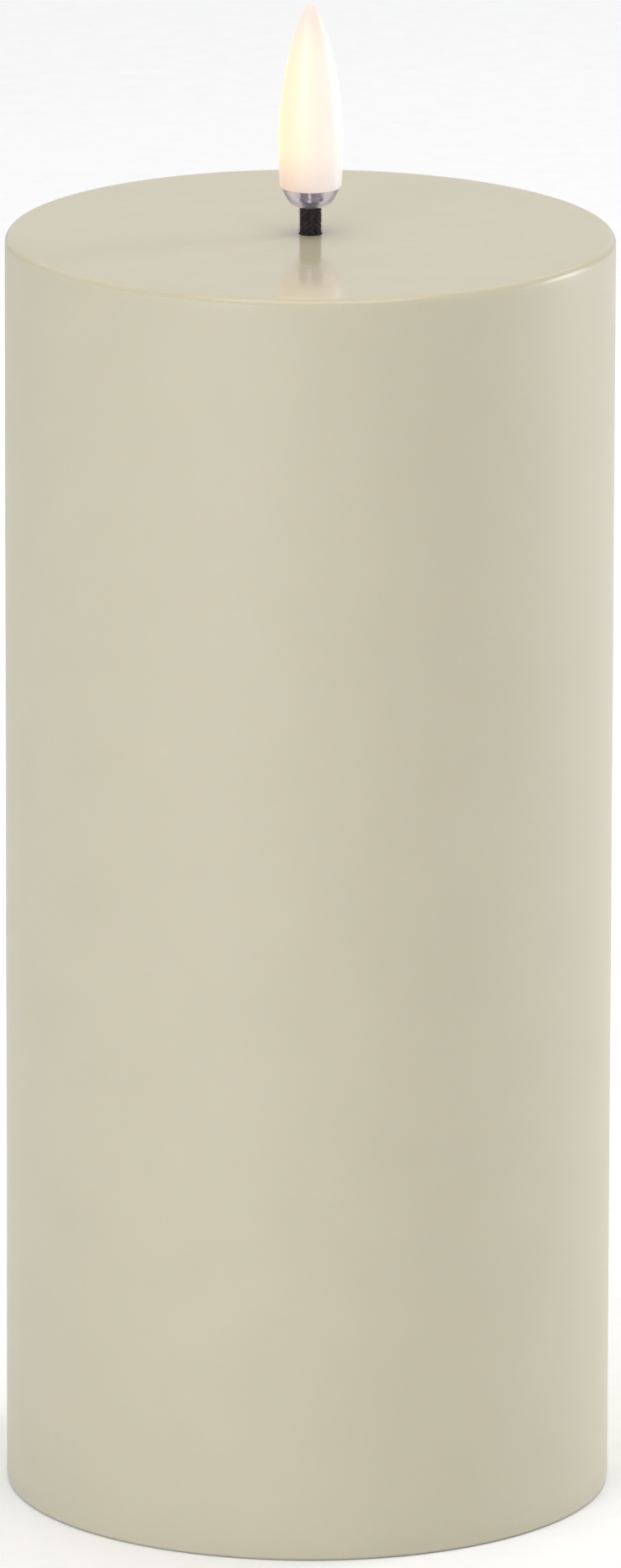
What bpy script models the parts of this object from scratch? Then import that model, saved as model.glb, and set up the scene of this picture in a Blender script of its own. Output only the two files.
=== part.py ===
"""Flameless LED pillar candle: a wax body on a moulded core, with a lit flame bulb on a short wick.

The frame stands on the table with its origin under the middle of the candle and +Z up. The front,
with the slide switch, faces -Y. The battery door hooks in at -X and latches at +X.
All sizes below are in millimetres; mm() turns them into Blender's metres.
"""

import math

import bmesh
import bpy
from mathutils import Matrix, Vector

# ---- driving dimensions, in millimetres ----
CANDLE_R = 36.0            # outside of the wax
CANDLE_H = 152.4           # table to the flat wax top
TOP_EDGE_R = 1.0
BOTTOM_EDGE_R = 0.6
WAX_WALL = 2.8
WAX_TOP = 5.0
FIT_GAP = 0.3              # between neighbouring mouldings
SMALL_GAP = 0.1            # between small metal and plastic pieces

CORE_R = CANDLE_R - WAX_WALL - FIT_GAP
CORE_WALL = 1.3
CORE_TOP = CANDLE_H - WAX_TOP - FIT_GAP
CORE_LID = 1.5
CORE_BORE_R = CORE_R - CORE_WALL
CORE_CEILING = CORE_TOP - CORE_LID

FLOOR_LOW = 0.8            # the tray sits this far up inside the wax rim
FLOOR_TOP = 3.2
TRAY_R = CORE_R
SPIGOT_R = CORE_BORE_R - FIT_GAP
SPIGOT_WALL = 1.4
SPIGOT_TOP = 6.2

CELL_R = 7.25              # AA cell
CELL_LENGTH = 50.5         # with its nub
NUB_R = 2.75
NUB_H = 1.0
CELL_Y = 7.6
BAY_HALF_X = 27.2
BAY_HALF_Y = 15.0
BAY_CORNER = (1.4, 2.6)    # how much the bay's corners are cut off, along x and y
BAY_WALL = 1.3
BAY_CEILING = 18.5
BAY_ROOF = 1.5
CELL_Z = FLOOR_TOP + 0.15 + CELL_R

PLATE_T = 0.4              # contact plates
PLATE_LOW = 5.0
PLATE_TOP = 16.5
TAB_TOP = 22.0
PLATE_X = BAY_HALF_X - SMALL_GAP - PLATE_T      # inner face of a contact plate
SPRING_WIRE_R = 0.35
SPRING_TURNS = 2.5

DOOR_LIP = 1.4             # the rebate is this much wider than the bay
DOOR_LOW = 0.9
DOOR_TOP = 2.0
REBATE_TOP = 2.2
DOOR_AXIS_X = -(BAY_HALF_X + DOOR_LIP) + 0.15
HOOK_Y = 8.0

SCREW_PLACES = ((18.5, -21.5), (-18.5, -21.5), (0.0, 28.4))
BOARD_SCREW_X = 9.6
BOARD_Y = -22.5
BOARD_HALF_X = 12.0
BOARD_HALF_Y = 5.0
BOARD_LOW = 7.1
BOARD_T = 1.6
BOARD_TOP = BOARD_LOW + BOARD_T
SWITCH_TRAVEL = 2.0        # each way from the middle position
STEM_HALF = 0.75           # the slider's square stem
NECK_HALF = 1.25           # the button's square neck around it
BUTTON_HALF_X = 2.4
BUTTON_HALF_Y = 2.8
BUTTON_LOW = 1.05
RECESS_TOP = 2.0           # finger recess around the button

WICK_R = 1.31
WICK_H = 3.23              # wick seen above the wax
STEM_R = 1.02
STEM_BORE_R = 0.75
BOSS_R = 6.5
BOSS_LOW = CORE_CEILING - 3.5
HOLDER_TOP = BOSS_LOW - FIT_GAP
HOLDER_T = 1.5
HOLDER_SCREW_X = 4.2

FLAME_SEAM = CANDLE_H + 5.55         # clear cup below, milky shell above
FLAME_TIP = CANDLE_H + 27.6
FLAME_WIDEST = CANDLE_H + 12.1
FLAME_R = 3.83
FLAME_TAPER = 0.22                   # how much narrower the milky shell is at the bottom
SEAM_R = 3.40
CUP_WALL = 0.45
DIFFUSER_WALL = 0.5
LEAD_X = 0.42
LEAD_LOW = 137.4
LED_LOW = CANDLE_H + 4.05
LED_R = 1.5


def mm(value):
    """Millimetres to metres."""
    return value * 0.001


# ---- materials and objects ----

def material(name, colour, roughness, metallic=0.0, alpha=1.0):
    """A Principled BSDF with one colour, made once for each name."""
    found = bpy.data.materials.get(name)
    if found:
        return found
    made = bpy.data.materials.new(name)
    made.use_nodes = True
    shader = made.node_tree.nodes["Principled BSDF"]
    shader.inputs["Base Color"].default_value = (*colour, 1.0)
    shader.inputs["Roughness"].default_value = roughness
    shader.inputs["Metallic"].default_value = metallic
    shader.inputs["Alpha"].default_value = alpha
    return made


def wax():
    return material("wax", (0.62, 0.58, 0.45), 0.35)


def core_plastic():
    return material("core_plastic", (0.75, 0.73, 0.66), 0.5)


def base_plastic():
    return material("base_plastic", (0.60, 0.56, 0.44), 0.5)


def black_plastic():
    return material("black_plastic", (0.015, 0.015, 0.016), 0.6)


def steel():
    return material("plated_steel", (0.62, 0.62, 0.60), 0.3, 1.0)


def copper_foil():
    return material("tinned_copper", (0.70, 0.69, 0.66), 0.3, 1.0)


def board_laminate():
    return material("board_laminate", (0.05, 0.22, 0.08), 0.5)


def clear_plastic():
    return material("clear_plastic", (0.92, 0.90, 0.90), 0.08, alpha=0.35)


def milky_plastic():
    return material("milky_plastic", (0.95, 0.90, 0.80), 0.3)


def collection(name):
    made = bpy.data.collections.new(name)
    bpy.context.scene.collection.children.link(made)
    return made


def place(name, mesh, finish, group):
    """A named object for a mesh, in a collection, with its material."""
    mesh.name = name
    obj = bpy.data.objects.new(name, mesh)
    group.objects.link(obj)
    if finish:
        mesh.materials.append(finish)
    return obj


def as_cutter(obj):
    """A helper is drawn as wires and left out of renders and of the build."""
    obj.hide_render = True
    obj.display_type = "WIRE"
    return obj


def combine(obj, helper, operation):
    modifier = obj.modifiers.new(operation.lower() + "_" + helper.name, "BOOLEAN")
    modifier.operation = operation
    modifier.object = as_cutter(helper)


def cut(obj, helper):
    combine(obj, helper, "DIFFERENCE")


def join(obj, helper):
    combine(obj, helper, "UNION")


def hang_on_axis(obj, point):
    """Puts the object's origin on its joint's axis and leaves its shape where it is."""
    offset = Vector([mm(v) for v in point])
    obj.data.transform(Matrix.Translation(-offset))
    obj.location = offset
    return obj


# ---- shapes ----

def arc(centre, radius, start, end, steps):
    """Points of a circular arc, in degrees, both ends included."""
    points = []
    for i in range(steps + 1):
        angle = math.radians(start + (end - start) * i / steps)
        points.append((centre[0] + radius * math.cos(angle), centre[1] + radius * math.sin(angle)))
    return points


def turned(name, profile, finish, group, segments, closed=False, smooth=True):
    """Turns a profile of (radius, height) points, given down its outer side, about Z."""
    mesh = bpy.data.meshes.new(name)
    edges = [(i, i + 1) for i in range(len(profile) - 1)]
    if closed:
        edges.append((len(profile) - 1, 0))
    mesh.from_pydata([(mm(r), 0.0, mm(z)) for r, z in profile], edges, [])
    obj = place(name, mesh, finish, group)
    screw = obj.modifiers.new("turn", "SCREW")
    screw.axis = "Z"
    screw.angle = 2 * math.pi
    screw.steps = segments
    screw.render_steps = segments
    screw.use_merge_vertices = True
    screw.merge_threshold = 0.000001
    screw.use_smooth_shade = smooth
    return obj


def boxes(name, spans, finish, group):
    """One mesh of boxes, each given as ((x, x), (y, y), (z, z))."""
    mesh = bpy.data.meshes.new(name)
    shape = bmesh.new()
    for span in spans:
        middle = Vector([mm((low + high) / 2) for low, high in span])
        size = [mm(high - low) for low, high in span]
        matrix = Matrix.Translation(middle) @ Matrix.Diagonal((*size, 1.0))
        bmesh.ops.create_cube(shape, size=1.0, matrix=matrix)
    shape.to_mesh(mesh)
    shape.free()
    return place(name, mesh, finish, group)


def cylinders(name, rods, finish, group, segments=24):
    """One mesh of upright cylinders, each given as (x, y, radius, low, high)."""
    mesh = bpy.data.meshes.new(name)
    shape = bmesh.new()
    for x, y, radius, low, high in rods:
        middle = Matrix.Translation((mm(x), mm(y), mm((low + high) / 2)))
        bmesh.ops.create_cone(shape, cap_ends=True, segments=segments, radius1=mm(radius),
                              radius2=mm(radius), depth=mm(high - low), matrix=middle)
    shape.to_mesh(mesh)
    shape.free()
    return place(name, mesh, finish, group)


def prism(name, outline, low, high, finish, group):
    """A flat outline, drawn as a filled 2D curve and thickened from low to high."""
    curve = bpy.data.curves.new(name + "_outline", "CURVE")
    curve.dimensions = "2D"
    curve.fill_mode = "BOTH"
    curve.extrude = mm((high - low) / 2)
    spline = curve.splines.new("POLY")
    spline.points.add(len(outline) - 1)
    for point, (x, y) in zip(spline.points, outline):
        point.co = (mm(x), mm(y), 0.0, 1.0)
    spline.use_cyclic_u = True
    drawn = bpy.data.objects.new(name + "_outline", curve)
    drawn.location.z = mm((low + high) / 2)
    group.objects.link(drawn)
    bpy.context.view_layer.update()
    evaluated = drawn.evaluated_get(bpy.context.evaluated_depsgraph_get())
    mesh = bpy.data.meshes.new_from_object(evaluated)
    mesh.transform(drawn.matrix_world)
    bpy.data.objects.remove(drawn)
    shape = bmesh.new()
    shape.from_mesh(mesh)
    bmesh.ops.remove_doubles(shape, verts=shape.verts, dist=0.000001)
    bmesh.ops.recalc_face_normals(shape, faces=shape.faces)
    shape.to_mesh(mesh)
    shape.free()
    return place(name, mesh, finish, group)


def stand_facing_x(obj):
    """Turns a flat piece drawn in x and y so that it stands in y and z and faces +X."""
    obj.data.transform(Matrix(((0, 0, 1, 0), (1, 0, 0, 0), (0, 1, 0, 0), (0, 0, 0, 1))))
    return obj


def rounded(obj, width, segments=2):
    """Rounds the edges of a plain solid."""
    bevel = obj.modifiers.new("round", "BEVEL")
    bevel.width = mm(width)
    bevel.segments = segments
    bevel.limit_method = "ANGLE"
    bevel.angle_limit = math.radians(40)
    return obj


def rod_along(name, points, radius, finish, group):
    """A wire: a poly curve through all the points, with filled caps."""
    curve = bpy.data.curves.new(name, "CURVE")
    curve.dimensions = "3D"
    curve.bevel_depth = mm(radius)
    curve.bevel_resolution = 2
    curve.use_fill_caps = True
    spline = curve.splines.new("POLY")
    spline.points.add(len(points) - 1)
    for point, (x, y, z) in zip(spline.points, points):
        point.co = (mm(x), mm(y), mm(z), 1.0)
    obj = bpy.data.objects.new(name, curve)
    curve.materials.append(finish)
    group.objects.link(obj)
    return obj


def smooth_route(points, spacing):
    """Points on a smooth curve through the given ones, about spacing apart."""
    route = [Vector(p) for p in points]
    route = [route[0] * 2 - route[1]] + route + [route[-1] * 2 - route[-2]]
    found = []
    for i in range(1, len(route) - 2):
        before, start, end, after = route[i - 1:i + 3]
        steps = max(1, round((end - start).length / spacing))
        for k in range(steps):
            t = k / steps
            found.append(0.5 * (2 * start + (end - before) * t
                                + (2 * before - 5 * start + 4 * end - after) * t ** 2
                                + (3 * start - before - 3 * end + after) * t ** 3))
    found.append(route[-2])
    return [tuple(p) for p in found]


def bay_outline(grow):
    """The battery bay's outline with its corners cut off, moved out evenly by a wall or a gap."""
    cut_x, cut_y = BAY_CORNER
    slope = math.atan2(cut_x, cut_y)
    x = BAY_HALF_X + grow
    y = BAY_HALF_Y + grow
    end_x = BAY_HALF_X - cut_x + grow * math.tan((math.pi / 2 - slope) / 2)
    end_y = BAY_HALF_Y - cut_y + grow * math.tan(slope / 2)
    return [(x, -end_y), (x, end_y), (end_x, y), (-end_x, y), (-x, end_y), (-x, -end_y), (-end_x, -y),
            (end_x, -y)]


# ---- the candle's body ----

def wax_shell(parts):
    hole = WICK_R + SMALL_GAP
    inner = CANDLE_R - WAX_WALL
    profile = [(hole, CANDLE_H)]
    profile += arc((CANDLE_R - TOP_EDGE_R, CANDLE_H - TOP_EDGE_R), TOP_EDGE_R, 90, 0, 4)
    profile += arc((CANDLE_R - BOTTOM_EDGE_R, BOTTOM_EDGE_R), BOTTOM_EDGE_R, 0, -90, 2)
    profile += [(inner, 0.0), (inner, CANDLE_H - WAX_TOP), (hole, CANDLE_H - WAX_TOP)]
    return turned("wax_shell", profile, wax(), parts, 64, closed=True)


def inner_core(parts, cutters):
    """The moulded cup under the wax, with a boss for the wick holder and three screw bosses."""
    neck = WICK_R + FIT_GAP
    low = FLOOR_TOP + FIT_GAP
    profile = [(neck, CORE_TOP), (CORE_R, CORE_TOP), (CORE_R, low), (CORE_BORE_R, low),
               (CORE_BORE_R, CORE_CEILING), (BOSS_R, CORE_CEILING), (BOSS_R, BOSS_LOW), (neck, BOSS_LOW)]
    core = turned("inner_core", profile, core_plastic(), parts, 48, closed=True, smooth=False)
    boss_low = SPIGOT_TOP + 0.4
    columns = [(x, y, 3.6, boss_low, boss_low + 10) for x, y in SCREW_PLACES]
    join(core, cylinders("core_columns", columns, None, cutters))
    pilots = [(x, y, 1.3, boss_low - 1, boss_low + 9) for x, y in SCREW_PLACES]
    pilots += [(side * HOLDER_SCREW_X, 0, 0.95, BOSS_LOW - 1, BOSS_LOW + 3.2) for side in (-1, 1)]
    cut(core, cylinders("core_pilots", pilots, None, cutters, 16))
    return core


# ---- the base ----

def base_tray(parts, cutters):
    """Floor, locating spigot, battery bay, posts, and all the openings of the underside."""
    edge = 0.4
    profile = [(0, FLOOR_TOP), (TRAY_R, FLOOR_TOP), (TRAY_R, FLOOR_LOW + edge),
               (TRAY_R - edge, FLOOR_LOW), (0, FLOOR_LOW)]
    tray = turned("base_tray", profile, base_plastic(), parts, 64, smooth=False)

    inner = SPIGOT_R - SPIGOT_WALL
    foot = FLOOR_TOP - 0.2
    spigot = turned("tray_spigot", [(inner, SPIGOT_TOP), (SPIGOT_R, SPIGOT_TOP), (SPIGOT_R, foot),
                                    (inner, foot)], None, cutters, 64, closed=True)
    cut(spigot, as_cutter(boxes("spigot_gap", [((-40, 40), (-17.5, 17.5), (foot - 1, SPIGOT_TOP + 1))],
                                None, cutters)))
    join(tray, spigot)
    roof = BAY_CEILING + BAY_ROOF
    join(tray, prism("bay_block", bay_outline(BAY_WALL), foot, roof, None, cutters))
    posts = [(x, y, 2.8, foot, SPIGOT_TOP + 0.1) for x, y in SCREW_PLACES]
    posts += [(side * BOARD_SCREW_X, BOARD_Y, 2.0, foot, BOARD_LOW - 0.2) for side in (-1, 1)]
    join(tray, cylinders("tray_posts", posts, None, cutters))

    cut(tray, prism("bay_room", bay_outline(0), FLOOR_LOW - 2, BAY_CEILING, None, cutters))
    cut(tray, prism("door_rebate", bay_outline(DOOR_LIP), FLOOR_LOW - 1, REBATE_TOP, None, cutters))
    hooks = [((-30.3, -26.9), (side * HOOK_Y - 3.4, side * HOOK_Y + 3.4), (1.3, FLOOR_TOP + 0.2))
             for side in (-1, 1)]
    tabs = [((-BAY_HALF_X - 0.2, -PLATE_X + 0.5), (side * CELL_Y - 1.7, side * CELL_Y + 1.7),
             (BAY_CEILING - 1, roof + 1)) for side in (-1, 1)]
    thumb = [((27.9, 31.4), (-5.0, 5.0), (FLOOR_LOW - 1, REBATE_TOP + 0.01)),
             ((28.75, 29.7), (-3.4, 3.4), (REBATE_TOP - 1, 2.9))]
    slot_x = NECK_HALF + SWITCH_TRAVEL + 0.25
    slot_y = NECK_HALF + 0.25
    switch = [((-slot_x, slot_x), (BOARD_Y - slot_y, BOARD_Y + slot_y), (FLOOR_LOW, FLOOR_TOP + 1))]
    for name, spans in (("hook_slots", hooks), ("tab_slots", tabs), ("thumb_scoop", thumb[:1]),
                        ("nose_pocket", thumb[1:]), ("switch_slot", switch)):
        cut(tray, boxes(name, spans, None, cutters))
    recess_x = BUTTON_HALF_X + SWITCH_TRAVEL + 2.6
    recess_y = BUTTON_HALF_Y + 0.8
    finger = boxes("switch_recess", [((-recess_x, recess_x), (BOARD_Y - recess_y, BOARD_Y + recess_y),
                                      (FLOOR_LOW - 3, RECESS_TOP))], None, cutters)
    cut(tray, rounded(finger, 1.0))
    holes = [(x, y, 1.45, FLOOR_LOW - 1, SPIGOT_TOP + 1) for x, y in SCREW_PLACES]
    holes += [(side * BOARD_SCREW_X, BOARD_Y, 0.9, FLOOR_TOP + 0.6, BOARD_LOW + 1) for side in (-1, 1)]
    cut(tray, cylinders("screw_holes", holes, None, cutters, 16))
    sinks = [(x, y, 2.9, FLOOR_LOW - 1, 2.5) for x, y in SCREW_PLACES]
    cut(tray, cylinders("screw_sinks", sinks, None, cutters))
    return tray


def battery_door(parts, cutters):
    """The flush door: two hooks at -X, two cradle ribs, and a sprung tongue with a nose at +X."""
    door = prism("battery_door", bay_outline(DOOR_LIP - FIT_GAP), DOOR_LOW, DOOR_TOP, base_plastic(), parts)
    hooks = [((-29.9, -28.0), (side * HOOK_Y - 3.0, side * HOOK_Y + 3.0), (1.5, 2.1)) for side in (-1, 1)]
    ribs = [((x - 0.6, x + 0.6), (-13, 13), (DOOR_TOP - 0.2, DOOR_TOP + 0.9)) for x in (-12, 12)]
    tongue = [((26.0, 29.8), (-4.4, 4.4), (DOOR_LOW, 1.8))]
    nose = [((28.95, 29.45), (-3.0, 3.0), (1.5, 2.65))]
    for name, spans in (("door_hooks", hooks), ("door_ribs", ribs), ("door_tongue", tongue),
                        ("door_nose", nose)):
        join(door, boxes(name, spans, None, cutters))
    slots = [((21.0, 29.0), (side * 4.9 - 0.45, side * 4.9 + 0.45), (0, 3)) for side in (-1, 1)]
    cut(door, boxes("tongue_slots", slots, None, cutters))
    grip = [((x, x + 0.5), (-3.4, 3.4), (0, DOOR_LOW + 0.3)) for x in (24.0, 25.2, 26.4, 27.6)]
    cut(door, boxes("thumb_grooves", grip, None, cutters))
    return hang_on_axis(door, (DOOR_AXIS_X, 0, FLOOR_LOW))


def screw(name, x, y, seat, shaft_r, head_r, head_h, length, up, parts, cutters, segments=20):
    """A pan-head screw with a cross recess. seat is the height of the head's under face."""
    lean = 1 if up else -1
    rim = head_h * 0.35
    profile = [(0, length), (shaft_r * 0.5, length), (shaft_r, length - shaft_r), (shaft_r, 0),
               (head_r, 0), (head_r, -rim), (head_r * 0.72, -head_h), (0, -head_h)]
    if not up:
        profile = [(r, -z) for r, z in reversed(profile)]
    made = turned(name, profile, steel(), parts, segments)
    arm = head_r * 0.55
    half = head_r * 0.11
    face = -lean * head_h
    deep = face + lean * head_h * 0.55
    low, high = sorted((face - lean * 0.5, deep))
    made.location = (mm(x), mm(y), mm(seat))
    spans = [((x - arm, x + arm), (y - half, y + half), (seat + low, seat + high))]
    cut(made, boxes(name + "_recess", spans, None, cutters))
    crossing = [((x - half, x + half), (y - arm, y + arm), (seat + low, seat + high))]
    cut(made, boxes(name + "_crossing", crossing, None, cutters))
    return made


def base_screws(parts, cutters):
    for i, (x, y) in enumerate(SCREW_PLACES):
        screw(f"base_screw_{i + 1}", x, y, 2.4, 1.15, 2.5, 1.4, 12.0, True, parts, cutters)


# ---- cells and contacts ----

def cell(name, y, nub_side, parts):
    """An AA cell along X with its nub towards nub_side."""
    tip = PLATE_X - SMALL_GAP
    body = CELL_LENGTH - NUB_H
    profile = [(0, tip), (NUB_R, tip), (NUB_R, tip - NUB_H), (CELL_R - 0.5, tip - NUB_H),
               (CELL_R, tip - NUB_H - 0.5), (CELL_R, tip - NUB_H - body + 0.4),
               (CELL_R - 0.4, tip - NUB_H - body), (0, tip - NUB_H - body)]
    made = turned(name, profile, material("cell_jacket", (0.10, 0.10, 0.11), 0.35), parts, 32)
    made.rotation_euler = (0, nub_side * math.pi / 2, 0)
    made.location = (0, mm(y), mm(CELL_Z))
    return made


def contact_plate(name, y, inner_x, parts):
    """A T-shaped plate whose tab goes up through the bay's roof."""
    wide = 5.0
    tab = 1.3
    outline = [(y - wide, PLATE_LOW), (y + wide, PLATE_LOW), (y + wide, PLATE_TOP), (y + tab, PLATE_TOP),
               (y + tab, TAB_TOP), (y - tab, TAB_TOP), (y - tab, PLATE_TOP), (y - wide, PLATE_TOP)]
    return stand_facing_x(prism(name, outline, inner_x, inner_x + PLATE_T, steel(), parts))


def bridge_plate(parts):
    """The plate that joins the two cells at +X."""
    wide = CELL_Y + 4.6
    span = ((PLATE_X, PLATE_X + PLATE_T), (-wide, wide), (PLATE_LOW, PLATE_TOP))
    return boxes("bridge_plate", [span], steel(), parts)


def contact_spring(name, y, side, parts):
    """A conical spring between a cell's flat end and its plate, wide at the plate."""
    cell_end = PLATE_X - SMALL_GAP - CELL_LENGTH
    start = PLATE_X - SMALL_GAP - SPRING_WIRE_R
    end = -cell_end + SMALL_GAP + SPRING_WIRE_R
    count = int(SPRING_TURNS * 12)
    points = []
    for i in range(count + 1):
        t = i / count
        angle = 2 * math.pi * SPRING_TURNS * t
        radius = 3.8 - 1.6 * t
        points.append((side * (start + (end - start) * t), y + radius * math.cos(angle),
                       CELL_Z + radius * math.sin(angle)))
    return rod_along(name, points, SPRING_WIRE_R, steel(), parts)


# ---- board, switch and wires ----

def main_board(parts, cutters):
    """The timer board on its two posts, with its screws."""
    span = ((-BOARD_HALF_X, BOARD_HALF_X), (BOARD_Y - BOARD_HALF_Y, BOARD_Y + BOARD_HALF_Y),
            (BOARD_LOW, BOARD_TOP))
    board = boxes("main_pcb", [span], board_laminate(), parts)
    holes = [(side * BOARD_SCREW_X, BOARD_Y, 1.05, BOARD_LOW - 1, BOARD_TOP + 1) for side in (-1, 1)]
    cut(board, cylinders("board_holes", holes, None, cutters, 16))
    for i, side in enumerate((-1, 1)):
        screw(f"pcb_screw_{i + 1}", side * BOARD_SCREW_X, BOARD_Y, BOARD_TOP + 0.1, 0.78, 1.9, 1.2, 4.6,
              False, parts, cutters, 16)


def board_parts(parts):
    """The chip, crystal, capacitor and resistors, each standing just clear of the board."""
    seat = BOARD_TOP + SMALL_GAP
    black = black_plastic()
    chip = boxes("timer_chip", [((-1.5, 3.5), (-26.4, -22.4), (seat, seat + 1.5))], black, parts)
    rounded(chip, 0.15, 1)
    for i, y in enumerate((-23.6, -26.0)):
        resistor = boxes(f"resistor_{i + 1}", [((4.4, 6.4), (y - 0.62, y + 0.62), (seat, seat + 0.55))],
                         black, parts)
        rounded(resistor, 0.08, 1)
    can = [(0, 5.2), (1.75, 5.2), (2.0, 4.95), (2.0, 0.9), (1.85, 0.75), (2.0, 0.6), (2.0, 0), (0, 0)]
    capacitor = turned("capacitor", can, copper_foil(), parts, 20)
    capacitor.location = (mm(-4.6), mm(-24.4), mm(seat))
    tube = [(0, 2.4), (0.9, 2.4), (1.0, 2.3), (1.0, -2.4), (0, -2.4)]
    crystal = turned("timer_crystal", tube, steel(), parts, 16)
    crystal.rotation_euler = (0, math.pi / 2, 0)
    crystal.location = (mm(6.1), mm(-19.6), mm(seat + 1.0))


def slide_switch(parts, cutters):
    """A three-position slide switch under the board and the outer button that moves it."""
    y = BOARD_Y
    can = boxes("switch_can", [((-4.3, 4.3), (y - 2.2, y + 2.2), (3.4, 6.9))], copper_foil(), parts)
    cut(can, boxes("can_room", [((-4.0, 4.0), (y - 1.9, y + 1.9), (3.7, 8.0))], None, cutters))
    slot_x = STEM_HALF + SWITCH_TRAVEL + 0.25
    slot_y = STEM_HALF + 0.2
    cut(can, boxes("can_slot", [((-slot_x, slot_x), (y - slot_y, y + slot_y), (3.0, 4.0))], None, cutters))
    base = boxes("switch_base", [((-3.8, 3.8), (y - 1.7, y + 1.7), (5.4, 6.8))], black_plastic(), parts)
    rounded(base, 0.15, 1)

    slider = boxes("switch_slider", [((-1.8, 1.8), (y - 1.7, y + 1.7), (3.9, 5.1))], black_plastic(), parts)
    stem = [((-STEM_HALF, STEM_HALF), (y - STEM_HALF, y + STEM_HALF), (2.1, 4.2))]
    join(slider, boxes("slider_stem", stem, None, cutters))
    hang_on_axis(slider, (0, y, 3.0))

    button = boxes("switch_button", [((-BUTTON_HALF_X, BUTTON_HALF_X), (y - BUTTON_HALF_Y, y + BUTTON_HALF_Y),
                                      (BUTTON_LOW, RECESS_TOP - 0.2))], base_plastic(), parts)
    neck = [((-NECK_HALF, NECK_HALF), (y - NECK_HALF, y + NECK_HALF), (1.5, 3.1))]
    join(button, boxes("button_neck", neck, None, cutters))
    ridges = [((x - 0.25, x + 0.25), (y - 2.4, y + 2.4), (BUTTON_LOW - 0.3, BUTTON_LOW + 0.2))
              for x in (-1.5, 0.0, 1.5)]
    join(button, boxes("button_ridges", ridges, None, cutters))
    grip = STEM_HALF + SMALL_GAP
    socket = [((-grip, grip), (y - grip, y + grip), (1.9, 4.0))]
    cut(button, boxes("button_socket", socket, None, cutters))
    hang_on_axis(button, (0, y, 3.0))


def wires(parts):
    """Four insulated wires: two from the battery tabs and two up to the light-emitting diode."""
    radius = 0.6
    seat = BOARD_TOP + SMALL_GAP
    red = material("red_insulation", (0.55, 0.03, 0.02), 0.45)
    black = material("black_insulation", (0.02, 0.02, 0.02), 0.45)
    tab_x = -PLATE_X - PLATE_T / 2
    tab_z = TAB_TOP + 0.15
    from_positive = [(tab_x, -CELL_Y, tab_z), (tab_x, -CELL_Y, 23.6), (-24.2, -9.5, 25.6),
                     (-18.0, -14.0, 24.6), (-11.5, -17.6, 20.5), (-8.8, -18.9, 14.5), (-8.4, -19.0, seat)]
    from_negative = [(tab_x, CELL_Y, tab_z), (tab_x, CELL_Y, 23.6), (-24.0, 6.0, 25.8),
                     (-16.5, -1.0, 25.0), (-9.0, -10.0, 24.0), (-5.6, -16.8, 20.5),
                     (-4.9, -18.9, 14.5), (-4.8, -19.0, seat)]
    rod_along("wire_battery_pos", smooth_route(from_positive, 2.6), radius, red, parts)
    rod_along("wire_battery_neg", smooth_route(from_negative, 2.6), radius, black, parts)
    up = [(2.0, -19.0, seat), (2.0, -19.0, 14.0), (2.0, -17.8, 20.5), (2.6, -12.0, 28.0), (2.8, -4.0, 38.0),
          (2.3, 1.0, 52.0), (1.4, 2.4, 70.0), (1.0, 1.0, 92.0), (0.78, 0, 112.0), (0.78, 0, LEAD_LOW - 0.2)]
    for name, side, finish in (("wire_led_pos", -1, red), ("wire_led_neg", 1, black)):
        route = [(side * x, y, z) for x, y, z in up]
        rod_along(name, smooth_route(route, 3.4), radius, finish, parts)


# ---- wick and flame ----

def wick_holder(parts, cutters):
    """A black flange under the core's boss, with a hollow stem that rises through the wax."""
    flange_r = BOSS_R - 0.3
    low = HOLDER_TOP - HOLDER_T
    tip = CANDLE_H + 3.9
    profile = [(STEM_BORE_R, tip), (STEM_R, tip), (STEM_R, HOLDER_TOP), (flange_r, HOLDER_TOP),
               (flange_r, low), (STEM_BORE_R, low)]
    holder = turned("wick_holder", profile, black_plastic(), parts, 32, closed=True)
    holes = [(side * HOLDER_SCREW_X, 0, 1.1, low - 1, HOLDER_TOP + 1) for side in (-1, 1)]
    cut(holder, cylinders("holder_holes", holes, None, cutters, 16))
    for i, side in enumerate((-1, 1)):
        screw(f"holder_screw_{i + 1}", side * HOLDER_SCREW_X, 0, low - SMALL_GAP, 0.85, 1.8, 1.1, 4.6,
              True, parts, cutters, 16)


def wick_sleeve(parts):
    """The woven sleeve that shows as the wick."""
    bore = STEM_R + 0.06
    low = HOLDER_TOP + SMALL_GAP
    top = CANDLE_H + WICK_H
    profile = [(bore, top), (WICK_R, top), (WICK_R, low), (bore, low)]
    return turned("wick_sleeve", profile, material("woven_black", (0.012, 0.012, 0.014), 0.9), parts, 32,
                  closed=True)


def led(parts, cutters):
    """A 3 mm diode: a clear domed lens over the two halves of its lead frame."""
    top = LED_LOW + 3.5
    flange_r = LED_R + 0.25
    profile = arc((0, top), LED_R, 90, 0, 6)
    profile[0] = (0, top + LED_R)
    profile += [(LED_R, LED_LOW + 0.4), (flange_r, LED_LOW + 0.4), (flange_r, LED_LOW), (0, LED_LOW)]
    lens = turned("led_lens", profile, clear_plastic(), parts, 24)
    heads = {"led_post": ((-0.95, -0.2), 1.35), "led_anvil": ((0.05, 1.1), 1.55)}
    pockets = []
    for name, (span, height) in heads.items():
        x = -LEAD_X if name == "led_post" else LEAD_X
        base = LED_LOW + 0.25
        head = boxes(name, [(span, (-0.45, 0.45), (base, base + height))], copper_foil(), parts)
        lead = boxes(name + "_lead", [((x - 0.18, x + 0.18), (-0.18, 0.18), (LEAD_LOW, base + 0.3))],
                     None, cutters)
        join(head, lead)
        pockets.append(((span[0] - 0.06, span[1] + 0.06), (-0.51, 0.51), (LED_LOW - 1, base + height + 0.06)))
    cut(lens, boxes("lens_pockets", pockets, None, cutters))


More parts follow.
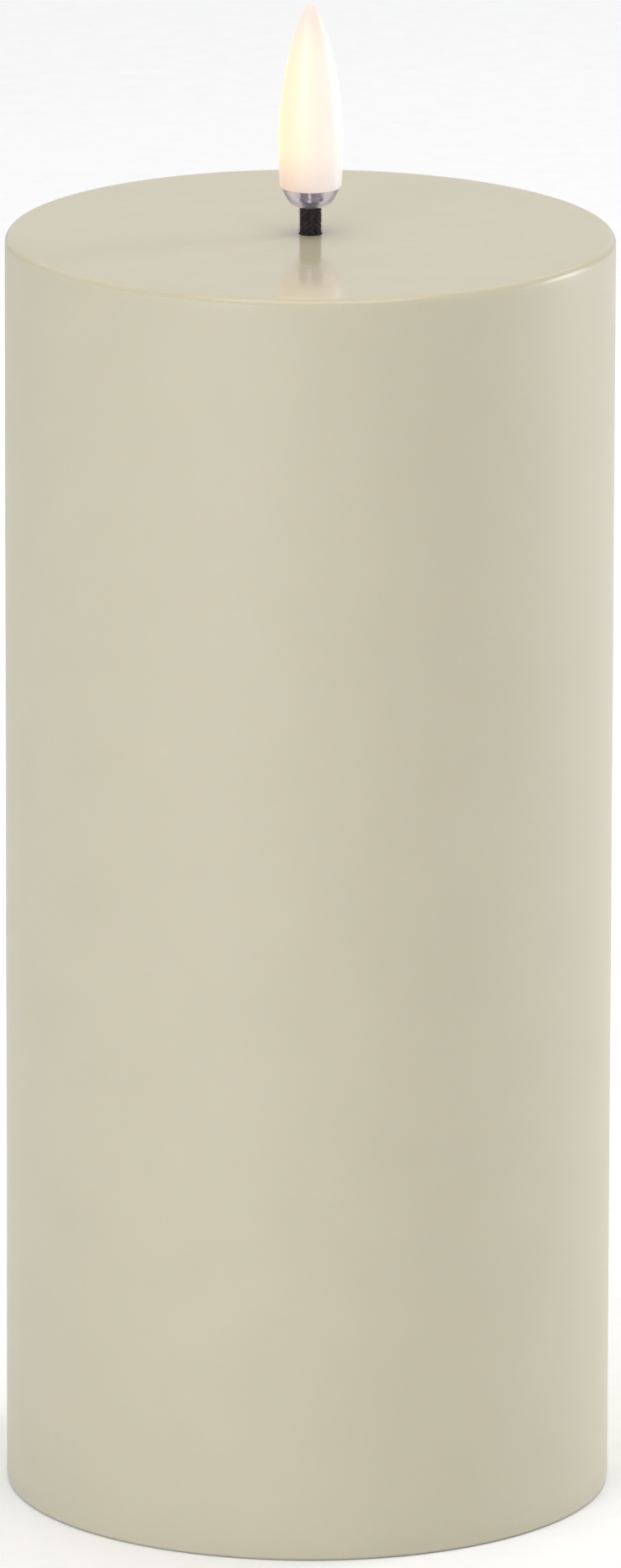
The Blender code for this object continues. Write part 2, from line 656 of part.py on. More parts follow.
def flame_cup(parts):
    """The clear rounded bottom of the bulb, open at the top, with a hole for the stem's tip."""
    low = CANDLE_H + WICK_H + 0.05
    top = FLAME_SEAM - 0.04
    bottom_r = WICK_R + 0.03
    steps = 8
    outer = []
    for i in range(steps, -1, -1):
        t = i / steps
        outer.append((bottom_r + (SEAM_R - bottom_r) * t ** 0.42, low + (top - low) * t))
    neck = STEM_R + 0.08
    inner = [(neck, low), (neck, low + CUP_WALL), (1.95, low + 0.75), (2.5, low + 1.2),
             (2.84, low + 1.75), (SEAM_R - CUP_WALL, top)]
    return turned("flame_cup", outer + inner, clear_plastic(), parts, 32, closed=True)


def flame_radius(height):
    """Outer radius of the milky shell at a height: a slight barrel below, a pointed dome above."""
    if height >= FLAME_WIDEST:
        u = (height - FLAME_WIDEST) / (FLAME_TIP - FLAME_WIDEST)
        return FLAME_R * (1 - u ** 1.5) ** 0.6
    v = (FLAME_WIDEST - height) / (FLAME_WIDEST - FLAME_SEAM)
    return FLAME_R - FLAME_TAPER * v * v


def flame_diffuser(parts):
    """The milky shell, open at the bottom, where it meets the cup."""
    low = FLAME_SEAM + 0.04
    steps = 14
    tall = FLAME_TIP - low - 0.35
    heights = [FLAME_TIP - tall * (i / steps) ** 1.35 for i in range(steps + 1)]
    outer = [(flame_radius(z), z) for z in heights]
    outer += [(SEAM_R + 0.13, low + 0.12), (SEAM_R, low)]
    inner_tip = FLAME_TIP - DIFFUSER_WALL * 2.2
    inner = [(SEAM_R - DIFFUSER_WALL, low)]
    for z in reversed(heights):
        if z < inner_tip - 0.6:
            inner.append((flame_radius(z) - DIFFUSER_WALL, z))
    inner.append((0, inner_tip))
    return turned("flame_diffuser", outer + inner, milky_plastic(), parts, 32)


def clear_scene():
    for obj in list(bpy.data.objects):
        bpy.data.objects.remove(obj)


def main():
    clear_scene()
    parts = collection("flameless_candle")
    cutters = collection("cutters")
    wax_shell(parts)
    inner_core(parts, cutters)
    base_tray(parts, cutters)
    battery_door(parts, cutters)
    base_screws(parts, cutters)
    cell("battery_front", -CELL_Y, -1, parts)
    cell("battery_rear", CELL_Y, 1, parts)
    contact_plate("positive_plate", -CELL_Y, -PLATE_X - PLATE_T, parts)
    contact_plate("negative_plate", CELL_Y, -PLATE_X - PLATE_T, parts)
    bridge_plate(parts)
    contact_spring("negative_spring", CELL_Y, -1, parts)
    contact_spring("bridge_spring", -CELL_Y, 1, parts)
    main_board(parts, cutters)
    board_parts(parts)
    slide_switch(parts, cutters)
    wires(parts)
    wick_holder(parts, cutters)
    wick_sleeve(parts)
    led(parts, cutters)
    flame_cup(parts)
    flame_diffuser(parts)


main()
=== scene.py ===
"""Looks for a flameless LED pillar candle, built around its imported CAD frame.

A smooth wax cylinder stands on its base. A short woven wick rises from its flat top and carries a
lit, flame-shaped bulb. The underside has a battery door and a slide switch. Sizes in the classes
are millimetres, and mm() turns them into the frame's metres.
"""

import logging
import math
import random
from collections.abc import Callable, Iterator
from contextlib import contextmanager
from dataclasses import dataclass, field
from enum import Enum
from typing import Any

import bmesh
import bpy
from mathutils import Matrix, Vector


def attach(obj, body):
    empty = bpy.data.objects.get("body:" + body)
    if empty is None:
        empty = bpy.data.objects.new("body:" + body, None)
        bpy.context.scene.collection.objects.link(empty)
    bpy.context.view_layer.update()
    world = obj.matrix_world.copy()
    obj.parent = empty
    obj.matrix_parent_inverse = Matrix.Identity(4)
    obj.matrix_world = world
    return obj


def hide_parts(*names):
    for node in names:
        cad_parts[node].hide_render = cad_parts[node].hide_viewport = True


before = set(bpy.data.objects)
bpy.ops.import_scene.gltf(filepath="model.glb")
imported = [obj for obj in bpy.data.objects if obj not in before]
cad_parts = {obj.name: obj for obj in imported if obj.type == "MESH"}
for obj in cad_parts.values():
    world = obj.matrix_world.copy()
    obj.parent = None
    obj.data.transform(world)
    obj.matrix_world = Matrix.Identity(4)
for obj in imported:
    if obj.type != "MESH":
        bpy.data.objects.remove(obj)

LOG = logging.getLogger("candle")
Piece = bpy.types.Object
Tree = bpy.types.NodeTree
Node = bpy.types.Node
Socket = bpy.types.NodeSocket
Colour = tuple[float, float, float, float]
Profile = list[tuple[float, float]]
Test = Callable[[Vector, Vector], bool]

CANDLE_R = 36.0
CANDLE_H = 152.4
FULL_TURN = 2 * math.pi
MERGE = 0.000001


class Body(Enum):
    """The bodies that move on their own."""

    CANDLE = "candle"
    SWITCH = "switch"
    DOOR = "door"


class Part(Enum):
    """What an edit-mode selection is made of."""

    CORNER = "VERT"
    EDGE = "EDGE"
    FACE = "FACE"


def mm(value: float) -> float:
    """Turns millimetres into metres."""
    return value * 0.001


def at(x: float, y: float, z: float) -> tuple[float, float, float]:
    """Turns a point in millimetres into metres."""
    return (mm(x), mm(y), mm(z))


def linear(code: str) -> Colour:
    """Turns an sRGB hex colour into linear light.

    Args:
        code: six hex digits after a hash.

    Returns:
        Linear red, green and blue, with full alpha.
    """
    parts = [int(code[i:i + 2], 16) / 255 for i in (1, 3, 5)]
    light = [c / 12.92 if c <= 0.04045 else ((c + 0.055) / 1.055) ** 2.4 for c in parts]
    return (*light, 1.0)


# ---- modelling, one step at a time ----

def deselect() -> None:
    """Lets go of every object, the CAD nodes among them."""
    for obj in list(bpy.context.selected_objects):
        obj.select_set(False)


def take(obj: Piece) -> None:
    """Selects one object alone and makes it the active one."""
    deselect()
    obj.select_set(True)
    bpy.context.view_layer.objects.active = obj


def join(pieces: list[Piece], name: str) -> Piece:
    """Makes several objects one, under the first one's place and a name."""
    deselect()
    for piece in pieces:
        piece.select_set(True)
    bpy.context.view_layer.objects.active = pieces[0]
    bpy.ops.object.join()
    made = bpy.context.active_object
    made.name = name
    return made


def copy_of(obj: Piece) -> Piece:
    """Gives a copy of an object with its own mesh."""
    take(obj)
    bpy.ops.object.duplicate()
    return bpy.context.active_object


def settle(obj: Piece) -> None:
    """Moves an object's place into its mesh, so that it sits at the origin."""
    take(obj)
    bpy.ops.object.transform_apply(location=True, rotation=True, scale=True)


def start(name: str, add: Callable[..., Any], **settings: Any) -> Piece:
    """Adds a primitive at its size and place.

    Args:
        name: the piece's name.
        add: the operator that adds the primitive.
        settings: the operator's own settings.

    Returns:
        The new object, at the origin with its place in its mesh.
    """
    deselect()
    add(**settings)
    made = bpy.context.active_object
    made.name = name
    made.data.name = name
    settle(made)
    return made


@contextmanager
def editing(obj: Piece) -> Iterator[None]:
    """Opens one object in edit mode with nothing selected, and closes it afterwards."""
    take(obj)
    bpy.ops.object.mode_set(mode="EDIT")
    bpy.ops.mesh.select_mode(type=Part.CORNER.value)
    bpy.ops.mesh.select_all(action="DESELECT")
    yield
    bpy.ops.object.mode_set(mode="OBJECT")


def pick(obj: Piece, kind: Part, test: Test) -> None:
    """Selects the parts of an open mesh that pass a test.

    Args:
        obj: the object that is open in edit mode.
        kind: what to select.
        test: takes a part's middle in millimetres and its direction, which is a face's or a
            corner's normal or an edge's run, and says whether it is wanted.
    """
    bpy.ops.mesh.select_mode(type=kind.value)
    bpy.ops.mesh.select_all(action="DESELECT")
    shape = bmesh.from_edit_mesh(obj.data)
    if kind is Part.FACE:
        found = [f for f in shape.faces if test(f.calc_center_median() * 1000, f.normal)]
    elif kind is Part.EDGE:
        ends = [(e, e.verts[0].co, e.verts[1].co) for e in shape.edges]
        found = [e for e, a, b in ends if test((a + b) * 500, (b - a).normalized())]
    else:
        found = [v for v in shape.verts if test(v.co * 1000, v.normal)]
    for part in found:
        part.select_set(True)
    shape.select_flush_mode()
    bmesh.update_edit_mesh(obj.data)


def clean(obj: Piece) -> None:
    """Merges doubled corners and turns all faces outwards."""
    with editing(obj):
        bpy.ops.mesh.select_all(action="SELECT")
        bpy.ops.mesh.remove_doubles(threshold=MERGE)
        bpy.ops.mesh.normals_make_consistent(inside=False)


def smooth(obj: Piece, degrees: float = 35.0) -> None:
    """Shades an object smooth except where its faces meet at a sharp angle."""
    take(obj)
    bpy.ops.object.shade_smooth_by_angle(angle=math.radians(degrees))


def apply(obj: Piece, kind: str, **settings: Any) -> None:
    """Adds a modifier and applies it at once."""
    modifier = obj.modifiers.new(kind.lower(), kind)
    for key, value in settings.items():
        setattr(modifier, key, value)
    take(obj)
    bpy.ops.object.modifier_apply(modifier=modifier.name)


def arc(centre: tuple[float, float], radius: float, first: float, last: float, steps: int) -> Profile:
    """Gives the points of a circular arc from one angle to another, in degrees."""
    turns = [math.radians(first + (last - first) * i / steps) for i in range(steps + 1)]
    return [(centre[0] + radius * math.cos(t), centre[1] + radius * math.sin(t)) for t in turns]


def turned(name: str, profile: Profile, segments: int, closed: bool = False,
           edge: float = 35.0) -> Piece:
    """Draws half an outline corner by corner and spins it about the upright axis.

    Args:
        name: the piece's name.
        profile: radius and height of each corner, in millimetres.
        segments: how many steps the full turn has.
        closed: whether the outline ends where it began.
        edge: faces that meet at a sharper angle than this keep a crisp edge.

    Returns:
        The spun piece.
    """
    corners = profile + profile[:1] if closed else profile
    radius, height = corners[0]
    made = start(name, bpy.ops.mesh.primitive_plane_add, size=mm(0.1), location=at(radius, 0, height))
    with editing(made):
        bpy.ops.mesh.select_all(action="SELECT")
        bpy.ops.mesh.merge(type="CENTER")
        for (r0, z0), (r1, z1) in zip(corners, corners[1:]):
            step = {"value": at(r1 - r0, 0, z1 - z0)}
            bpy.ops.mesh.extrude_vertices_move(TRANSFORM_OT_translate=step)
        bpy.ops.mesh.select_all(action="SELECT")
        bpy.ops.mesh.spin(steps=segments, angle=FULL_TURN, center=(0, 0, 0), axis=(0, 0, 1))
    clean(made)
    smooth(made, edge)
    return made


def rod(name: str, x: float, y: float, radius: float, low: float, high: float,
        sides: int) -> Piece:
    """Adds an upright round rod between two heights."""
    return start(name, bpy.ops.mesh.primitive_cylinder_add, vertices=sides, radius=mm(radius),
                 depth=mm(high - low), location=at(x, y, (low + high) / 2))


def block(name: str, x: tuple[float, float], y: tuple[float, float],
          z: tuple[float, float]) -> Piece:
    """Adds a square block between two places along each axis."""
    spans = (x, y, z)
    middle = at(*((low + high) / 2 for low, high in spans))
    made = start(name, bpy.ops.mesh.primitive_cube_add, size=1.0, location=middle)
    with editing(made):
        bpy.ops.mesh.select_all(action="SELECT")
        bpy.ops.transform.resize(value=at(*(high - low for low, high in spans)), center_override=middle)
    return made


def prism(name: str, outline: Profile, low: float, high: float) -> Piece:
    """Draws a flat outline corner by corner, fills it and draws it up to a height."""
    x, y = outline[0]
    made = start(name, bpy.ops.mesh.primitive_plane_add, size=mm(0.1), location=at(x, y, low))
    with editing(made):
        bpy.ops.mesh.select_all(action="SELECT")
        bpy.ops.mesh.merge(type="CENTER")
        for (x0, y0), (x1, y1) in zip(outline, outline[1:]):
            step = {"value": at(x1 - x0, y1 - y0, 0)}
            bpy.ops.mesh.extrude_vertices_move(TRANSFORM_OT_translate=step)
        bpy.ops.mesh.select_all(action="SELECT")
        bpy.ops.mesh.edge_face_add()
        bpy.ops.mesh.extrude_region_move(TRANSFORM_OT_translate={"value": at(0, 0, high - low)})
    clean(made)
    return made


def combine(obj: Piece, operation: str, *helpers: Piece) -> None:
    """Joins helper shapes to an object or cuts them out of it, and removes the helpers."""
    for helper in helpers:
        apply(obj, "BOOLEAN", object=helper, operation=operation, solver="EXACT")
        bpy.data.objects.remove(helper)


def soften(obj: Piece, width: float) -> None:
    """Takes the sharpness off a moulding's edges."""
    with editing(obj):
        bpy.ops.mesh.select_all(action="SELECT")
        bpy.ops.mesh.remove_doubles(threshold=MERGE)
        bpy.ops.mesh.dissolve_limited(angle_limit=math.radians(1.0))
    apply(obj, "BEVEL", width=mm(width), segments=2, limit_method="ANGLE", angle_limit=math.radians(50))
    smooth(obj, 40)


# ---- finishes ----

def add_node(tree: Tree, kind: str, inputs: dict[str | int, Any] | None = None,
             **settings: Any) -> Node:
    """Adds one node with its settings, values and links.

    Args:
        tree: the node tree that it goes into.
        kind: the node's type, without the leading "ShaderNode".
        inputs: for each socket a value, or another node's output to link.
        settings: attributes of the node itself.

    Returns:
        The new node.
    """
    made = tree.nodes.new("ShaderNode" + kind)
    for key, value in settings.items():
        setattr(made, key, value)
    for key, value in (inputs or {}).items():
        if isinstance(value, Socket):
            tree.links.new(value, made.inputs[key])
        else:
            made.inputs[key].default_value = value
    return made


@dataclass(frozen=True)
class Finish:
    """A material as its maker would order it. Each kind of finish adds its own pattern."""

    name: str
    colour: str
    roughness: float
    ior: float = 1.5
    metallic: float = 0.0

    def make(self) -> bpy.types.Material:
        """Makes the material, or finds it where it was made before."""
        found = bpy.data.materials.get(self.name)
        if found:
            return found
        made = bpy.data.materials.new(self.name)
        made.use_nodes = True
        tree = made.node_tree
        tree.nodes.clear()
        shader = add_node(tree, "BsdfPrincipled", {
            "Base Color": linear(self.colour), "Roughness": self.roughness, "IOR": self.ior,
            "Metallic": self.metallic})
        add_node(tree, "OutputMaterial", {"Surface": shader.outputs["BSDF"]})
        self.pattern(tree, shader, add_node(tree, "TexCoord").outputs["Object"])
        return made

    def pattern(self, tree: Tree, shader: Node, place: Socket) -> None:
        """Draws the finish's own pattern into the shader."""
        raise NotImplementedError

    def mottle(self, tree: Tree, place: Socket, grain: float,
               low: float, high: float, detail: float = 3.0) -> Socket:
        """Gives a soft noise between two values.

        Args:
            tree: the node tree.
            place: where the pattern is read.
            grain: the size of one patch, in millimetres.
            low: the least value.
            high: the greatest value.
            detail: how many finer layers the noise has.

        Returns:
            The socket that carries the value.
        """
        noise = add_node(tree, "TexNoise", {"Vector": place, "Scale": 1 / mm(grain), "Detail": detail})
        spread = add_node(tree, "MapRange", {
            "Value": noise.outputs["Fac"], "From Min": 0.3, "From Max": 0.7, "To Min": low, "To Max": high})
        return spread.outputs["Result"]

    def tint(self, tree: Tree, share: Any, first: Any, second: Any) -> Socket:
        """Mixes two colours, each a hex code or a socket, by a share."""
        pair = [linear(c) if isinstance(c, str) else c for c in (first, second)]
        mixed = add_node(tree, "Mix", {0: share, 6: pair[0], 7: pair[1]}, data_type="RGBA")
        return mixed.outputs[2]

    def relief(self, tree: Tree, shader: Node, height: Socket,
               depth: float) -> None:
        """Raises the surface by a height pattern of a real depth in millimetres."""
        bump = add_node(tree, "Bump", {"Height": height, "Distance": mm(depth)})
        tree.links.new(bump.outputs["Normal"], shader.inputs["Normal"])


@dataclass(frozen=True)
class CastWax(Finish):
    """Paraffin and stearin, cast in a mould: light goes a little way in, so edges look soft, and the
    skin is faintly cloudy. The sides are satin, and the remelted top is glossy enough to show a
    blurred mirror image."""

    top_roughness: float = 0.11
    top: float = CANDLE_H
    cloud: str = "#bbb6a1"
    cloud_size: float = 9.0
    skin_size: float = 0.9
    skin_depth: float = 0.006
    depth: float = 1.2

    def pattern(self, tree: Tree, shader: Node, place: Socket) -> None:
        """Draws the clouds in the wax and the fine ripple of its skin."""
        share = self.mottle(tree, place, self.cloud_size, 0.0, 1.0)
        tree.links.new(self.tint(tree, share, self.colour, self.cloud), shader.inputs["Base Color"])
        height = add_node(tree, "SeparateXYZ", {"Vector": place}).outputs["Z"]
        gloss = add_node(tree, "MapRange", {
            "Value": height, "From Min": mm(self.top - 1.0), "From Max": mm(self.top - 0.1),
            "To Min": self.roughness, "To Max": self.top_roughness}, interpolation_type="SMOOTHSTEP")
        uneven = self.mottle(tree, place, self.cloud_size / 2, -0.02, 0.02)
        total = add_node(tree, "Math", {0: gloss.outputs["Result"], 1: uneven}, operation="ADD")
        tree.links.new(total.outputs["Value"], shader.inputs["Roughness"])
        shader.inputs["Subsurface Weight"].default_value = 0.35
        shader.inputs["Subsurface Radius"].default_value = (1.0, 0.8, 0.5)
        shader.inputs["Subsurface Scale"].default_value = mm(self.depth)
        self.relief(tree, shader, self.mottle(tree, place, self.skin_size, 0.0, 1.0, 2.0), self.skin_depth)


@dataclass(frozen=True)
class BlackCotton(Finish):
    """Dyed cotton yarn: dull and dark, with a brownish bloom where loose fibres catch the light."""

    worn: str = "#382c2b"
    yarn: float = 0.16

    def pattern(self, tree: Tree, shader: Node, place: Socket) -> None:
        """Draws the fibres and the uneven dye."""
        share = self.mottle(tree, place, self.yarn * 3, 0.0, 1.0)
        tree.links.new(self.tint(tree, share, self.colour, self.worn), shader.inputs["Base Color"])
        shader.inputs["Sheen Weight"].default_value = 0.15
        shader.inputs["Sheen Roughness"].default_value = 0.5
        shader.inputs["Sheen Tint"].default_value = linear("#a08a84")
        self.relief(tree, shader, self.mottle(tree, place, self.yarn, 0.0, 1.0, 4.0), 0.03)


@dataclass(frozen=True)
class Clear(Finish):
    """Clear moulded plastic or cast resin: see-through with bright edges, a faint painted glow for the
    diode's light caught inside, and flow lines too faint to see except in the gloss."""

    flow: float = 2.0
    # painted glow: a faint emission over the whole part that stands in for the diode's light caught inside
    painted_glow_colour: str = "#dcdaf0"
    painted_glow_strength: float = 0.0

    def pattern(self, tree: Tree, shader: Node, place: Socket) -> None:
        """Lets light through, paints a glow for the diode's light caught inside, and varies the gloss along
        the flow.
        """
        shader.inputs["Transmission Weight"].default_value = 1.0
        # painted glow: emission that stands in for the diode's light caught in the clear part
        shader.inputs["Emission Color"].default_value = linear(self.painted_glow_colour)
        shader.inputs["Emission Strength"].default_value = self.painted_glow_strength
        gloss = self.mottle(tree, place, self.flow, self.roughness * 0.6, self.roughness * 1.4)
        tree.links.new(gloss, shader.inputs["Roughness"])
        self.relief(tree, shader, self.mottle(tree, place, self.flow, 0.0, 1.0, 1.0), 0.004)


@dataclass(frozen=True)
class LitOpal(Finish):
    """Milky acrylic, moulded and lit from inside: warm and yellow on the side where the diode's chip
    sits, near white on the other, peach at its foot, and fainter at its tip."""

    foot: float = CANDLE_H + 5.6
    tip: float = CANDLE_H + 27.6
    radius: float = 3.8
    foot_fade: float = 5.5
    tip_fade: float = 6.5
    inside_radius: float = 3.1
    warm: str = "#c5aa84"
    white: str = "#bbaca5"
    peach: str = "#a48b79"
    rose: str = "#a6a09d"
    faint: str = "#a99a90"
    inside: str = "#ffcf7a"
    strength: float = 1.6

    def pattern(self, tree: Tree, shader: Node, place: Socket) -> None:
        """Grades the glow across the bulb and along it, and makes it strongest on the inner wall."""
        parts = add_node(tree, "SeparateXYZ", {"Vector": place}).outputs
        across = self.ramp(tree, parts["X"], -self.radius, self.radius * 0.9)
        foot = self.tint(tree, across, self.peach, self.rose)
        glow = self.tint(tree, across, self.warm, self.white)
        down = self.ramp(tree, parts["Z"], self.foot + self.foot_fade, self.foot)
        glow = self.tint(tree, down, glow, foot)
        up = self.ramp(tree, parts["Z"], self.tip - self.tip_fade, self.tip)
        glow = self.tint(tree, up, glow, self.faint)
        flat = add_node(tree, "CombineXYZ", {"X": parts["X"], "Y": parts["Y"]})
        reach = add_node(tree, "VectorMath", {0: flat.outputs["Vector"]}, operation="LENGTH")
        within = self.ramp(tree, reach.outputs["Value"], self.inside_radius, self.inside_radius - 0.1)
        low = self.ramp(tree, parts["Z"], self.foot + 6.0, self.foot + 5.0)
        hidden = add_node(tree, "Math", {0: within, 1: low}, operation="MULTIPLY")
        glow = self.tint(tree, hidden.outputs["Value"], glow, self.inside)
        cloud = self.mottle(tree, place, 3.0, 0.06, 0.0)
        tree.links.new(self.tint(tree, cloud, glow, self.faint), shader.inputs["Emission Color"])
        shader.inputs["Emission Strength"].default_value = self.strength
        self.relief(tree, shader, self.mottle(tree, place, 2.5, 0.0, 1.0, 1.0), 0.004)

    def ramp(self, tree: Tree, value: Socket, first: float,
             last: float) -> Socket:
        """Rises softly from 0 to 1 as a length goes from one size to another, in millimetres."""
        rise = add_node(tree, "MapRange", {"Value": value, "From Min": mm(first), "From Max": mm(last)},
                        interpolation_type="SMOOTHSTEP")
        return rise.outputs["Result"]


@dataclass(frozen=True)
class Moulded(Finish):
    """Injection-moulded plastic: even colour with a fine spark-eroded grain and a soft sheen."""

    shade: str = "#b9b29b"
    grain: float = 0.25
    grain_depth: float = 0.012

    def pattern(self, tree: Tree, shader: Node, place: Socket) -> None:
        """Draws the grain of the tool and a faint drift in the colour."""
        share = self.mottle(tree, place, 6.0, 0.0, 0.6)
        tree.links.new(self.tint(tree, share, self.colour, self.shade), shader.inputs["Base Color"])
        gloss = self.mottle(tree, place, self.grain * 4, self.roughness - 0.05, self.roughness + 0.05)
        tree.links.new(gloss, shader.inputs["Roughness"])
        self.relief(tree, shader, self.mottle(tree, place, self.grain, 0.0, 1.0, 2.0), self.grain_depth)


@dataclass(frozen=True)
class Plated(Finish):
    """Stamped or turned metal under a thin bright plating: crisp highlights, broken by fine
    rolling marks that run one way."""

    stain: str = "#8f8c86"
    line: float = 0.12

    def pattern(self, tree: Tree, shader: Node, place: Socket) -> None:
        """Draws the rolling marks and the slight staining."""
        drawn = add_node(tree, "Mapping", {"Vector": place, "Scale": (1.0, 1.0, 0.06)})
        lines = self.mottle(tree, drawn.outputs["Vector"], self.line, 0.0, 1.0, 2.0)
        share = self.mottle(tree, place, 2.5, 0.0, 0.5)
        tree.links.new(self.tint(tree, share, self.colour, self.stain), shader.inputs["Base Color"])
        gloss = self.mottle(tree, drawn.outputs["Vector"], self.line * 2, self.roughness * 0.7,
                            self.roughness * 1.4)
        tree.links.new(gloss, shader.inputs["Roughness"])
        self.relief(tree, shader, lines, 0.004)


@dataclass(frozen=True)
class PlainFloor(Finish):
    """Matt white paper: no gloss, and a tooth too fine to see."""

    def pattern(self, tree: Tree, shader: Node, place: Socket) -> None:
        """Draws the paper's faint tooth."""
        share = self.mottle(tree, place, 4.0, 0.0, 1.0)
        tree.links.new(self.tint(tree, share, self.colour, "#fafcff"), shader.inputs["Base Color"])
        shader.inputs["Specular IOR Level"].default_value = 0.1


# a pale, warm ivory, soft at the edges
WAX = CastWax("cast_ivory_wax", "#b9b49f", 0.42, 1.44)
# near black, with no shine
COTTON = BlackCotton("black_braided_cotton", "#0d0d10", 0.9)
# clear and a little lilac, with a faint painted glow that stands in for the diode's light caught inside
CLEAR_ACRYLIC = Clear("clear_moulded_acrylic", "#f4f1fb", 0.14, 1.49, painted_glow_strength=0.035)
# clearer and harder-edged than the cup around it, with a fainter painted glow
CLEAR_EPOXY = Clear("clear_cast_epoxy", "#f2eef4", 0.04, 1.53, painted_glow_strength=0.01)
# a smooth shell that glows all through
OPAL = LitOpal("lit_opal_acrylic", "#8f8b88", 0.3, 1.49)
# dulled silver, dark against the glow
SILVERED = Plated("silvered_lead_frame", "#6f6977", 0.3, metallic=1.0, stain="#575260")
# cool grey, with a soft gleam on the screw heads
STEEL = Plated("zinc_plated_steel", "#c4c5c2", 0.3, metallic=1.0)
# warm and bright
NICKEL = Plated("nickel_plated_strip", "#cfc9bd", 0.22, metallic=1.0)
# flatter and greyer than nickel
TIN = Plated("tinned_sheet", "#c9c8c4", 0.35, metallic=1.0)
# close to the wax but a shade paler, even and satin
BASE_ABS = Moulded("moulded_ivory_abs", "#c6bfa8", 0.5)
# undyed, slightly waxy white
CORE_PP = Moulded("moulded_natural_polypropylene", "#dedbd0", 0.45, shade="#d2cfc3")
# black with a low sheen
BLACK_NYLON = Moulded("moulded_black_nylon", "#17171a", 0.5, shade="#1f1f21")
# dull black, finely pitted
CHIP_RESIN = Moulded("moulded_black_resin", "#1b1b1d", 0.6, shade="#252527", grain=0.1)
# dark grey film, tight and glossy
JACKET = Moulded("shrunk_pvc_cell_jacket", "#2b2d31", 0.3, shade="#34363a", grain_depth=0.004)
# green mask over glass cloth
LAMINATE = Moulded("masked_glass_laminate", "#1e5a34", 0.35, shade="#256b3e", grain=0.5)
# smooth red skin on the wire
RED_PVC = Moulded("red_pvc_insulation", "#a11d18", 0.4, shade="#8c1713")
# smooth black skin on the wire
BLACK_PVC = Moulded("black_pvc_insulation", "#151516", 0.4, shade="#1d1d1e")
# white, with no reflections
FLOOR = PlainFloor("matt_white_paper", "#f6f9fd", 0.9)


def dress(obj: Piece, finish: Finish) -> None:
    """Puts a finish on the whole of an object."""
    made = finish.make()
    if not obj.material_slots:
        obj.data.materials.append(made)
    for slot in obj.material_slots:
        slot.material = made


def fit(piece: Piece, finish: Finish, body: Body, slot: str, *nodes: str) -> None:
    """Dresses a finished piece and hangs it on its body in place of its CAD nodes."""
    dress(piece, finish)
    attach(piece, body.value)
    if nodes:
        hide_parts(*nodes)
    LOG.info("%s: %d corners, %s", piece.name, len(piece.data.vertices), finish.name)


# ---- sub-assemblies ----

@dataclass
class CandleBody:
    """The cast wax: a hollow cylinder, closed at the top except for the wick's hole."""

    radius: float = CANDLE_R
    height: float = CANDLE_H
    top_edge: float = 1.0
    bottom_edge: float = 0.6
    wall: float = 2.8
    lid: float = 5.0
    hole: float = 1.41
    sides: int = 256
    ripple: float = 0.05

    def top_rings(self) -> list[float]:
        """Gives the radii of the rings that the flat top is divided into."""
        return [33.0, 29.0, 24.0, 19.0, 14.0, 10.0, 6.5, 4.0, 2.4, self.hole]

    def build(self) -> Piece:
        """Models the shell from one solid cylinder."""
        shell = start("candle_wax", bpy.ops.mesh.primitive_cylinder_add, vertices=self.sides,
                      radius=mm(self.radius), depth=mm(self.height), location=at(0, 0, self.height / 2))
        with editing(shell):
            for level, width, steps in ((self.height, self.top_edge, 8), (0.0, self.bottom_edge, 5)):
                pick(shell, Part.EDGE, lambda spot, run: abs(spot.z - level) < 0.01)
                bpy.ops.mesh.bevel(offset=mm(width), segments=steps, profile=0.5)
            pick(shell, Part.EDGE, lambda spot, run: abs(run.z) > 0.99)
            bpy.ops.mesh.subdivide(number_cuts=70)
            self.hollow(shell)
            self.divide_top(shell)
            pick(shell, Part.EDGE, lambda spot, run: abs(run.z) < 0.5 and spot.xy.length < self.hole + 0.01)
            bpy.ops.mesh.bridge_edge_loops()
        self.ripple_skin(shell)
        smooth(shell)
        return shell

    def hollow(self, shell: Piece) -> None:
        """Draws the room for the core up from the underside, with the wick's hole in its ceiling."""
        pick(shell, Part.FACE, lambda spot, normal: spot.z < 0.01 and spot.xy.length < 1 and normal.z < -0.9)
        bpy.ops.mesh.inset(thickness=mm(self.wall - self.bottom_edge))
        lift = {"value": at(0, 0, self.height - self.lid)}
        bpy.ops.mesh.extrude_region_move(TRANSFORM_OT_translate=lift)
        bpy.ops.mesh.inset(thickness=mm(self.radius - self.wall - self.hole))
        bpy.ops.mesh.delete(type="ONLY_FACE")

    def divide_top(self, shell: Piece) -> None:
        """Insets the flat top ring by ring down to the wick's hole."""
        pick(shell, Part.FACE, lambda spot, normal: spot.z > self.height - 0.01 and spot.xy.length < 1)
        reach = self.radius - self.top_edge
        for ring in self.top_rings():
            bpy.ops.mesh.inset(thickness=mm(reach - ring))
            reach = ring
        bpy.ops.mesh.delete(type="ONLY_FACE")

    def ripple_skin(self, shell: Piece) -> None:
        """Gives the skin the slight unevenness of a casting."""
        clouds = bpy.data.textures.new("casting_ripple", "CLOUDS")
        clouds.noise_scale = 0.03
        clouds.noise_depth = 1
        apply(shell, "DISPLACE", texture=clouds, texture_coords="LOCAL", strength=mm(self.ripple),
              mid_level=0.5)

    def fit(self) -> None:
        """Builds and dresses the shell."""
        fit(self.build(), WAX, Body.CANDLE, "wax", "wax_shell")


